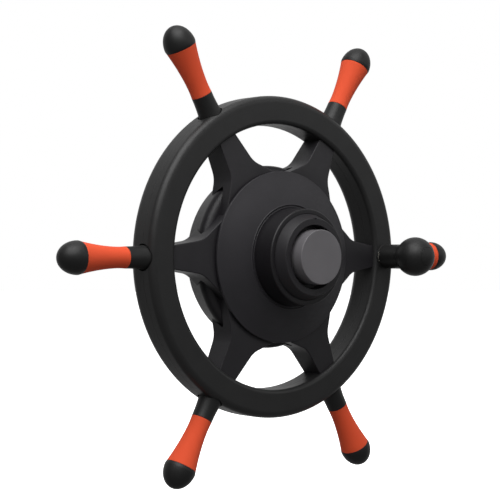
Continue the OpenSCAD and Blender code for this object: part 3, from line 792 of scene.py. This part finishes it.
@dataclass
class HubDrum(SubAssembly):
    """The drum behind the spokes and the cover that closes its back."""

    back_radius: float = 92 * MM
    edge: float = 2.0 * MM
    shoulder: float = 9.0 * MM
    plate_ahead: float = 3.4 * MM
    plate_bore: float = 40.0 * MM
    back_round: float = 1.2 * MM
    wall: float = 3.5 * MM
    cover_bore: float = 22.2 * MM
    bead_at: float = 66 * MM
    bead: float = 0.8 * MM
    screw_radius_at: float = 81 * MM
    screw_pit: float = 4.0 * MM

    def __post_init__(self) -> None:
        """Reads the drum's places from the frame."""
        self.back = stations("hub_drum")[0]
        self.front_radius = reach_up("hub_drum")
        self.plate = stations("rim_rear_shell")[1] + self.plate_ahead

    def outside(self, play: float) -> list[Point]:
        """Draws the drum's outside, filled up, to clear a space for it.

        Args:
            play: How much larger than the drum it is.

        Returns:
            The outline, from the axis behind to the axis in front.
        """
        return [
            (0, self.back - play), (self.back_radius + play, self.back - play),
            (self.front_radius + play, self.plate - self.edge),
            (self.front_radius - self.edge + play, self.plate + 0.01 * MM), (0, self.plate + 0.01 * MM),
        ]

    def build(self) -> None:
        """Builds the drum's outside and the back cover."""
        lip = self.back_radius - self.wall
        mesh = bmesh.new()
        turned(mesh, rounded([
            Corner(lip, self.back, 0.3 * MM), Corner(self.back_radius, self.back, self.back_round),
            Corner(self.front_radius, self.plate, self.shoulder),
            Corner(self.plate_bore, self.plate), Corner(self.plate_bore, self.plate - self.wall),
            Corner(lip, self.plate - self.wall),
        ], facets=12), AXLE, 216)
        settled(made(mesh, "hub_drum_shell"), Body.WHEEL, HUB_BLACK, ["hub_drum"])

        low, high = stations("hub_back_cover")
        edge = reach_up("hub_back_cover")
        mesh = bmesh.new()
        turned(mesh, rounded([
            Corner(self.cover_bore, low, 0.5 * MM), Corner(self.bead_at - 2 * MM, low, 0.4 * MM),
            Corner(self.bead_at - MM, low + self.bead, 0.3 * MM),
            Corner(self.bead_at + MM, low + self.bead, 0.3 * MM),
            Corner(self.bead_at + 2 * MM, low, 0.4 * MM), Corner(edge, low, 0.6 * MM),
            Corner(edge, high), Corner(self.cover_bore, high),
        ]), AXLE, 192)
        cover = made(mesh, "hub_rear_cover")
        tool = bmesh.new()
        depth = (high - low) / 2
        plug = [(0, depth), (self.screw_pit, depth), (self.screw_pit, -MM), (0, -MM)]
        for place in on_circle(self.screw_radius_at, SPOKES, 30, low):
            turned(tool, plug, place, 36)
        carved(cover, "DIFFERENCE", tool)
        # The rear cover uses the collar's darker black, which is painted shade.
        settled(cover, Body.WHEEL, COLLAR_PAINTED_SHADE_BLACK, ["hub_back_cover"])


@dataclass
class HubCover(SubAssembly):
    """The dome over the spokes' roots, which overhangs its own skirt."""

    skirt: float = 84 * MM
    wall: float = 3.0 * MM
    foot: float = 53.2 * MM
    top_land: float = 4.0 * MM
    groove: float = 0.8 * MM
    crown: float = 0.9 * MM
    rise: float = 13.4 * MM

    def build(self) -> None:
        """Builds the dome in one turned piece."""
        edge = reach_up("hub_cover")
        low, top = stations("hub_cover")
        lip = top - self.rise
        under = lip - self.wall
        land = self.foot + self.top_land
        slope = [
            (
                edge - MM + (land - edge + MM) * t,
                lip + (self.rise - 0.5 * MM) * t + 4 * self.crown * t * (1 - t),
            )
            for t in (k / 10 for k in range(1, 10))
        ]
        outer = [
            Corner(self.skirt - self.wall, under), Corner(self.skirt - self.wall, low),
            Corner(self.skirt, low, 0.3 * MM), Corner(self.skirt, under, 0.5 * MM),
            Corner(edge, under, 0.9 * MM), Corner(edge, lip, 0.9 * MM),
            *(Corner(r, z) for r, z in slope),
            Corner(land, top - 0.5 * MM, 0.5 * MM), Corner(land - 0.6 * MM, top, 0.4 * MM),
            Corner(self.foot + 2.7 * MM, top, 0.3 * MM),
            Corner(self.foot + 2.2 * MM, top - self.groove, 0.2 * MM),
            Corner(self.foot + 1.2 * MM, top - self.groove, 0.2 * MM),
            Corner(self.foot + 0.8 * MM, top, 0.3 * MM), Corner(self.foot, top, 0.2 * MM),
            Corner(self.foot, top - self.wall), Corner(land, top - self.wall),
        ]
        mesh = bmesh.new()
        turned(mesh, rounded(outer), AXLE, 216)
        settled(made(mesh, "hub_dome", 40), Body.WHEEL, DOME_BLACK, ["hub_cover"])


@dataclass
class Collar(SubAssembly):
    """The collar on the dome, the bezel in its mouth and the grey cap."""

    foot: float = 53.0 * MM
    top: float = 51.5 * MM
    wall: float = 4.5 * MM
    lip: float = 46.2 * MM
    ring_foot: float = 46.0 * MM
    ring_face: float = 41.0 * MM
    ring_bore: float = 34.0 * MM
    ring_wall: float = 2.5 * MM
    floor_hole: float = 17.0 * MM
    cap_radius: float = 29.0 * MM
    cap_wall: float = 2.5 * MM
    notch_width: float = 5.0 * MM
    notch_depth: float = 1.6 * MM

    def build(self) -> None:
        """Builds the collar, the bezel and the cap."""
        self.build_collar()
        self.build_bezel()
        self.build_cap()

    def build_collar(self) -> None:
        """Builds the tapered collar."""
        low, top = stations("collar")
        inner = self.top - self.wall
        mesh = bmesh.new()
        turned(mesh, rounded([
            Corner(inner, low), Corner(self.foot + 4 * MM, low),
            Corner(self.foot + 4 * MM, low + 3 * MM),
            Corner(self.foot, low + 3 * MM), Corner(self.top, top, 1.8 * MM),
            Corner(self.lip, top, 0.3 * MM), Corner(self.lip, top - self.ring_wall),
            Corner(inner, top - self.ring_wall),
        ]), AXLE, 192)
        # The collar's darker black is painted shade for its dark wall.
        settled(made(mesh, "hub_collar"), Body.WHEEL, COLLAR_PAINTED_SHADE_BLACK, ["collar"])

    def build_bezel(self) -> None:
        """Builds the bezel, with the small notch at its top edge."""
        face = stations("cap_ring")[1]
        rim_level = stations("collar")[1]
        floor = rim_level - 1.5 * MM
        mesh = bmesh.new()
        turned(mesh, rounded([
            Corner(self.floor_hole, floor - 2.5 * MM), Corner(self.ring_foot, floor - 2.5 * MM),
            Corner(self.ring_foot, rim_level), Corner(self.ring_face, face, 0.9 * MM),
            Corner(self.ring_bore, face, 0.6 * MM), Corner(self.ring_bore, floor, 0.4 * MM),
            Corner(self.floor_hole, floor, 0.2 * MM),
        ]), AXLE, 192)
        bezel = made(mesh, "cap_bezel")
        tool = bmesh.new()
        corners = [
            (
                self.notch_width / 2 * sx,
                self.ring_face + (4 * MM if sy > 0 else -MM),
                face + sz * self.notch_depth,
            )
            for sz in (-1, 1) for sy in (-1, 1) for sx in (-1, 1)
        ]
        verts = [tool.verts.new(AXLE @ Vector(c)) for c in corners]
        bmesh.ops.convex_hull(tool, input=verts)
        carved(bezel, "DIFFERENCE", tool)
        settled(bezel, Body.WHEEL, HUB_BLACK, ["cap_ring"])

    def build_cap(self) -> None:
        """Builds the grey cap, hollow from behind."""
        front = stations("centre_cap")[1]
        low = stations("collar")[1] - 1.3 * MM
        inner = self.cap_radius - self.cap_wall
        mesh = bmesh.new()
        turned(mesh, rounded([
            Corner(0, front), Corner(self.cap_radius - 3 * MM, front),
            Corner(self.cap_radius, front, 1.0 * MM),
            Corner(self.cap_radius, low, 0.3 * MM), Corner(inner, low, 0.3 * MM),
            Corner(inner, front - self.cap_wall, 0.8 * MM), Corner(0, front - self.cap_wall),
        ], closed=False), AXLE, 160)
        settled(made(mesh, "grey_cap"), Body.WHEEL, CAP_GREY, ["centre_cap"])


@dataclass
class Grip(SubAssembly):
    """One hand grip: the black neck, the orange sleeve and the egg-shaped end."""

    index: int
    neck_base: float = 13.6 * MM
    neck_top: float = 11.2 * MM
    slimmest: float = 10.8 * MM
    sleeve_end: float = 16.4 * MM
    widest: float = 17.1 * MM
    core: float = 8.75 * MM
    slim_at: float = 8.0 * MM
    swell: float = 1.75
    joint_round: float = 0.35 * MM
    around: int = 96

    def __post_init__(self) -> None:
        """Reads the grip's places along its spoke from the first grip's nodes."""
        self.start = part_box("grip_sleeve_1")[0].x
        self.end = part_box("grip_sleeve_1")[1].x
        self.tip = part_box("grip_end_cap_1")[1].x
        self.foot = reach_up("rim_rear_shell") - 6.6 * MM
        self.place = spoke_place(self.index)

    def sleeve_radius(self, share: float) -> float:
        """Gives the sleeve's radius at a share of its length."""
        slim = self.slim_at / (self.end - self.start)
        if share < slim:
            return self.slimmest + 0.4 * MM * ((slim - share) / slim) ** 2
        grown = ((share - slim) / (1 - slim)) ** self.swell
        return self.slimmest + (self.sleeve_end - self.slimmest) * grown

    def make(self, name: str, outline: list[Point], finish: Finish, node: str) -> None:
        """Turns one of the grip's pieces.

        Args:
            name: Name of the piece, before the grip's number.
            outline: Its outline along the spoke.
            finish: Its finish.
            node: Name of the node that it replaces, before the grip's number.
        """
        mesh = bmesh.new()
        turned(mesh, outline, self.place, self.around)
        number = self.index + 1
        settled(made(mesh, f"{name}_{number}"), Body.WHEEL, finish, [f"{node}_{number}"])

    def build(self) -> None:
        """Builds neck, sleeve and end."""
        steps = 10
        neck = [
            Corner(self.neck_top + (self.neck_base - self.neck_top) * (1 - k / steps) ** 2.2,
                   self.foot + (self.start - 0.1 * MM - self.foot) * k / steps)
            for k in range(steps + 1)
        ]
        neck[-1] = Corner(neck[-1].r, neck[-1].z, self.joint_round)
        self.make("grip_neck", rounded([
            Corner(0, self.foot), *neck, Corner(self.core, self.start - 0.1 * MM),
            Corner(self.core, self.end), Corner(0, self.end),
        ], closed=False), HANDLE_BLACK, "grip_core")

        steps = 28
        body = [
            Corner(self.sleeve_radius(k / steps), self.start + (self.end - self.start) * k / steps)
            for k in range(steps + 1)
        ]
        body[0] = Corner(body[0].r, body[0].z, self.joint_round)
        body[-1] = Corner(body[-1].r, body[-1].z, self.joint_round)
        self.make("grip_handle", rounded([
            Corner(self.core, self.start), *body, Corner(self.core, self.end),
        ]), GRIP_ORANGE, "grip_sleeve")

        swell_at = self.end + 2.6 * MM
        egg = [
            Corner(self.widest * math.cos(a), swell_at + (self.tip - swell_at) * math.sin(a))
            for a in (math.pi / 2 * k / 24 for k in range(24))
        ]
        self.make("grip_tip", rounded([
            Corner(0, self.end + 0.1 * MM),
            Corner(self.sleeve_end + 0.1 * MM, self.end + 0.1 * MM, 0.3 * MM),
            *egg, Corner(0, self.tip),
        ], closed=False), HANDLE_BLACK, "grip_end_cap")


@dataclass
class SpinnerKnob(SubAssembly):
    """The ball knob that turns on the rim."""

    neck: float = 13.9 * MM
    ball: float = 22.0 * MM
    blend: float = 12.0 * MM
    foot_round: float = 0.8 * MM
    plug: float = 10.45 * MM
    plug_gap: float = 0.12 * MM
    bush: float = 9.0 * MM
    pocket_above: float = 2.0 * MM

    def build(self) -> None:
        """Builds the ball with its neck, and the plug in its top."""
        low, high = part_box("knob_body")
        foot = stations("knob_body")[0]
        ball_at = stations("knob_plug")[1] - self.ball
        place = AXLE @ Matrix.Translation(((low.x + high.x) / 2, 0, 0))
        across = self.neck + self.blend
        blend_at = ball_at - math.sqrt((self.ball + self.blend) ** 2 - across**2)
        meet = math.atan2(ball_at - blend_at, -across)
        hollow = [
            Corner(across + self.blend * math.cos(a), blend_at + self.blend * math.sin(a))
            for a in (math.pi + (meet - math.pi) * k / 10 for k in range(11))
        ]
        mouth = self.plug + self.plug_gap
        first, last = meet - math.pi, math.acos(mouth / self.ball)
        skin = [
            Corner(self.ball * math.cos(a), ball_at + self.ball * math.sin(a))
            for a in (first + (last - first) * k / 30 for k in range(1, 31))
        ]
        skin[-1] = Corner(skin[-1].r, skin[-1].z, 0.25 * MM)
        pocket = ball_at + self.pocket_above
        mesh = bmesh.new()
        turned(mesh, rounded([
            Corner(self.bush, foot), Corner(self.neck, foot, self.foot_round), *hollow, *skin,
            Corner(mouth, pocket), Corner(self.bush, pocket),
        ]), place, 120)
        settled(made(mesh, "knob_ball"), Body.KNOB, HANDLE_BLACK, ["knob_body"])

        rim_z = ball_at + math.sqrt(self.ball**2 - self.plug**2)
        first = math.acos(self.plug / self.ball)
        rises = (first * (1 - t) + math.pi / 2 * t for t in (k / 8 for k in range(1, 8)))
        cap = [Corner(self.ball * math.cos(a), ball_at + self.ball * math.sin(a)) for a in rises]
        mesh = bmesh.new()
        turned(mesh, rounded([
            Corner(0, rim_z - 4 * MM), Corner(self.plug, rim_z - 4 * MM),
            Corner(self.plug, rim_z, 0.25 * MM), *cap, Corner(0, ball_at + self.ball),
        ], closed=False), place, 96)
        settled(made(mesh, "knob_button"), Body.KNOB, HANDLE_BLACK, ["knob_plug"])


@dataclass
class Screws(SubAssembly):
    """A ring of screws with domed heads, seen from behind."""

    node: str
    radius: float
    count: int
    first: float
    head_height: float
    drive: Drive = Drive.HEX
    head: float = 3.8 * MM
    shank: float = 2.0 * MM
    key: float = 1.5 * MM
    key_depth: float = 1.1 * MM

    def build(self) -> None:
        """Builds every screw of the ring in one piece."""
        low, high = stations(self.node)
        seat = low + self.head_height
        rise = self.head_height * 0.45
        dome = [
            Corner(self.head * math.cos(a), low + rise * (1 - math.sin(a)))
            for a in (math.radians(d) for d in (0, 18, 36, 52))
        ]
        face = dome[-1].z
        round_part = [(c.r, c.z) for c in dome[::-1]]
        pocket = [(0, face + self.key_depth), (self.key, face + self.key_depth), (self.key, face)]
        shank = [(self.head, seat), (self.shank, seat), (self.shank, high), (0, high)]
        outline = pocket + round_part + shank
        reach = polygon_reach(self.drive.value)
        reaches = [circle_reach, reach, reach] + [circle_reach] * (len(outline) - 3)
        mesh = bmesh.new()
        for place in on_circle(self.radius, self.count, self.first, 0):
            turned(mesh, outline, place, 36, reaches)
        settled(made(mesh, f"{self.node}_set"), Body.WHEEL, ZINC, [self.node])


@dataclass
class MountingBase(SubAssembly):
    """The fixed puck that stands between the wheel and the panel."""

    edge: float = 2.0 * MM
    foot_edge: float = 0.6 * MM
    bore: float = 10.2 * MM
    foot_pit: float = 22.2 * MM
    foot_flat: float = 17.2 * MM
    foot_depth: float = 5.0 * MM
    bolt_circle: float = 39 * MM
    insert: float = 5.0 * MM
    insert_depth: float = 19 * MM
    groove_at: float = 8 * MM
    groove: float = 0.6 * MM

    def build(self) -> None:
        """Builds the puck with its pockets cut from behind."""
        radius = reach_up("mounting_base")
        low, high = stations("mounting_base")
        mesh = bmesh.new()
        turned(mesh, rounded([
            Corner(self.bore, low), Corner(radius, low, self.foot_edge),
            Corner(radius, self.groove_at, 0.2 * MM),
            Corner(radius - self.groove, self.groove_at + self.groove, 0.2 * MM),
            Corner(radius, self.groove_at + 2 * self.groove, 0.2 * MM),
            Corner(radius, high - self.edge, 0.8 * MM), Corner(radius - self.edge, high, 0.8 * MM),
            Corner(self.bore, high),
        ]), AXLE, 160)
        puck = made(mesh, "base_puck")
        tool = bmesh.new()
        sides = 24
        half = math.asin(self.foot_flat / self.foot_pit)
        arc = [(k - sides / 2) * 2 * half / sides for k in range(sides + 1)]
        ends = [a + turn for turn in (0, math.pi) for a in arc]
        for z in (-MM, self.foot_depth):
            for a in ends:
                spot = Vector((self.foot_pit * math.cos(a), self.foot_pit * math.sin(a), z))
                tool.verts.new(AXLE @ spot)
        bmesh.ops.convex_hull(tool, input=tool.verts[:])
        carved(puck, "DIFFERENCE", tool)
        tool = bmesh.new()
        plug = [(0, self.insert_depth), (self.insert, self.insert_depth), (self.insert, -MM), (0, -MM)]
        for place in on_circle(self.bolt_circle, 4, 45, low):
            turned(tool, plug, place, 40)
        carved(puck, "DIFFERENCE", tool)
        settled(puck, Body.BASE, HUB_BLACK, ["mounting_base"])


@dataclass
class InnerParts(SubAssembly):
    """The frame's own bearing parts and fasteners, which keep their meshes."""

    finishes: dict[Finish, tuple[str, ...]] = field(default_factory=lambda: {
        ZINC: (
            "spindle", "spindle_washer", "spindle_nut", "star_screws", "hub_cover_screws",
            "grip_bolts", "grip_nuts", "knob_bolt", "knob_nut",
        ),
        BEARING_WHITE: (
            "rear_thrust_washer", "front_thrust_washer", "rear_bush", "front_bush",
            "knob_washer", "knob_bush",
        ),
        BRASS: ("threaded_inserts",),
    })

    def build(self) -> None:
        """Dresses each node in its finish."""
        for finish, names in self.finishes.items():
            for name in names:
                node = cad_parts[name]
                node.data.materials.clear()
                node.data.materials.append(finish.material())
                LOG.info("%s: node kept, in %s", name, finish.name)


# Studio


@dataclass(frozen=True)
class SoftBox:
    """A soft rectangular light that looks at the wheel."""

    name: str
    azimuth: float
    elevation: float
    distance: float
    width: float
    height: float
    power: float
    colour: Colour = (1.0, 1.0, 1.0)

    def build(self, target: Vector) -> None:
        """Hangs the light.

        Args:
            target: Point that it looks at.
        """
        data = bpy.data.lights.new(self.name, "AREA")
        data.shape = "RECTANGLE"
        data.size, data.size_y = self.width, self.height
        data.energy = self.power
        data.color = self.colour
        box = bpy.data.objects.new(self.name, data)
        a, e = math.radians(self.azimuth), math.radians(self.elevation)
        away = Vector((math.sin(a) * math.cos(e), -math.cos(a) * math.cos(e), math.sin(e)))
        box.location = target + away * self.distance
        box.rotation_mode = "QUATERNION"
        box.rotation_quaternion = (-away).to_track_quat("-Z", "Y")
        bpy.context.scene.collection.objects.link(box)


@dataclass
class Studio:
    """Camera, pale floor, white surroundings and soft lights."""

    lens: float = 102.5
    azimuth: float = -40.2184
    distance: float = 1557.4 * MM
    shift_right: float = -24.2 * MM
    shift_up: float = 7.5 * MM
    floor_gap: float = 60 * MM
    floor_radius: float = 9.0
    ambient: float = 0.20
    back_glow: float = 0.75
    boxes: tuple[SoftBox, ...] = (
        SoftBox("key_box", -46, 52, 2.4, 2.4, 2.2, 66),
        SoftBox("top_box", -30, 82, 2.2, 2.0, 1.6, 12),
        SoftBox("fill_box", 34, 24, 2.6, 2.6, 1.8, 9),
    )

    def build(self) -> None:
        """Sets up the whole studio."""
        self.build_camera()
        self.build_world()
        self.build_floor()
        for box in self.boxes:
            box.build(Vector((0, -0.06, 0)))

    def build_camera(self) -> None:
        """Stands the camera level, to the left of the wheel's axle."""
        plane = stations("rim_rear_shell")[1]
        turn = math.radians(self.azimuth)
        right = Vector((math.cos(turn), math.sin(turn), 0))
        forward = Vector((-math.sin(turn), math.cos(turn), 0))
        data = bpy.data.cameras.new("camera")
        data.lens = self.lens
        data.sensor_width = 36.0
        data.clip_start, data.clip_end = 0.05, 60.0
        camera = bpy.data.objects.new("camera", data)
        camera.location = (
            Vector((0, -plane, 0)) + right * self.shift_right
            + Vector((0, 0, self.shift_up)) - forward * self.distance
        )
        camera.rotation_euler = (math.pi / 2, 0, turn)
        bpy.context.scene.collection.objects.link(camera)
        bpy.context.scene.camera = camera

    def build_world(self) -> None:
        """Makes surroundings that glow behind the wheel and look white."""
        world = bpy.data.worlds.new("studio")
        world.use_nodes = True
        bpy.context.scene.world = world
        tree = world.node_tree
        nodes, links = tree.nodes, tree.links
        place = nodes.new("ShaderNodeTexCoord").outputs["Generated"]
        turn = math.radians(self.azimuth)
        lean = nodes.new("ShaderNodeVectorMath")
        lean.operation = "DOT_PRODUCT"
        lean.inputs[1].default_value = (-math.sin(turn), math.cos(turn), 0.35)
        links.new(place, lean.inputs[0])
        glow = nodes.new("ShaderNodeMapRange")
        glow.interpolation_type = "SMOOTHSTEP"
        for name, number in (
            ("From Min", 0.1), ("From Max", 1.0),
            ("To Min", self.ambient), ("To Max", self.back_glow),
        ):
            glow.inputs[name].default_value = number
        links.new(lean.outputs["Value"], glow.inputs["Value"])
        lit = nodes["Background"]
        links.new(glow.outputs["Result"], lit.inputs["Strength"])
        lit.inputs["Color"].default_value = (1, 1, 1, 1)
        seen = nodes.new("ShaderNodeBackground")
        seen.inputs["Strength"].default_value = 1.0
        seen.inputs["Color"].default_value = (1, 1, 1, 1)
        mix = nodes.new("ShaderNodeMixShader")
        links.new(nodes.new("ShaderNodeLightPath").outputs["Is Camera Ray"], mix.inputs["Fac"])
        links.new(lit.outputs["Background"], mix.inputs[1])
        links.new(seen.outputs["Background"], mix.inputs[2])
        links.new(mix.outputs["Shader"], nodes["World Output"].inputs["Surface"])
        bpy.context.scene.view_settings.view_transform = "Standard"

    def build_floor(self) -> None:
        """Lays a wide pale floor under the wheel."""
        mesh = bmesh.new()
        level = CAD_BOX[0].z - self.floor_gap
        bmesh.ops.create_circle(mesh, cap_ends=True, segments=96, radius=self.floor_radius)
        bmesh.ops.translate(mesh, verts=mesh.verts, vec=(0, 0, level))
        floor = made(mesh, "floor")
        sheet = NodeSheet("pale_floor")
        sheet.tinted(sheet.noise(0.4, 3), (0.86, 0.86, 0.86), 0.01)
        sheet.rough(sheet.between(sheet.noise(0.05, 2), 0.85, 0.95))
        sheet.fixed(Emission_Strength=1.0)
        sheet.shader.inputs["Emission Color"].default_value = (1, 1, 1, 1)
        floor.data.materials.append(sheet.material)
        floor.visible_diffuse = floor.visible_glossy = False


def main() -> None:
    """Builds the studio and every sub-assembly in order."""
    logging.basicConfig(level=logging.INFO, format="%(name)s: %(message)s")
    Studio().build()
    rim = Rim()
    drum = HubDrum()
    parts: list[SubAssembly] = [
        rim, SpokeStar(), drum, HubCover(), Collar(), SpinnerKnob(), MountingBase(), InnerParts(),
        *(Grip(k) for k in range(SPOKES)),
        Screws("rim_screws", (rim.outer + rim.inner) / 2, rim.screw_count, rim.screw_first, 2.6 * MM),
        Screws("back_cover_screws", drum.screw_radius_at, SPOKES, 30, 1.2 * MM, key_depth=0.8 * MM),
    ]
    for part in parts:
        part.build()
    LOG.info("%d sub-assemblies built", len(parts))


if __name__ == "__main__":
    main()
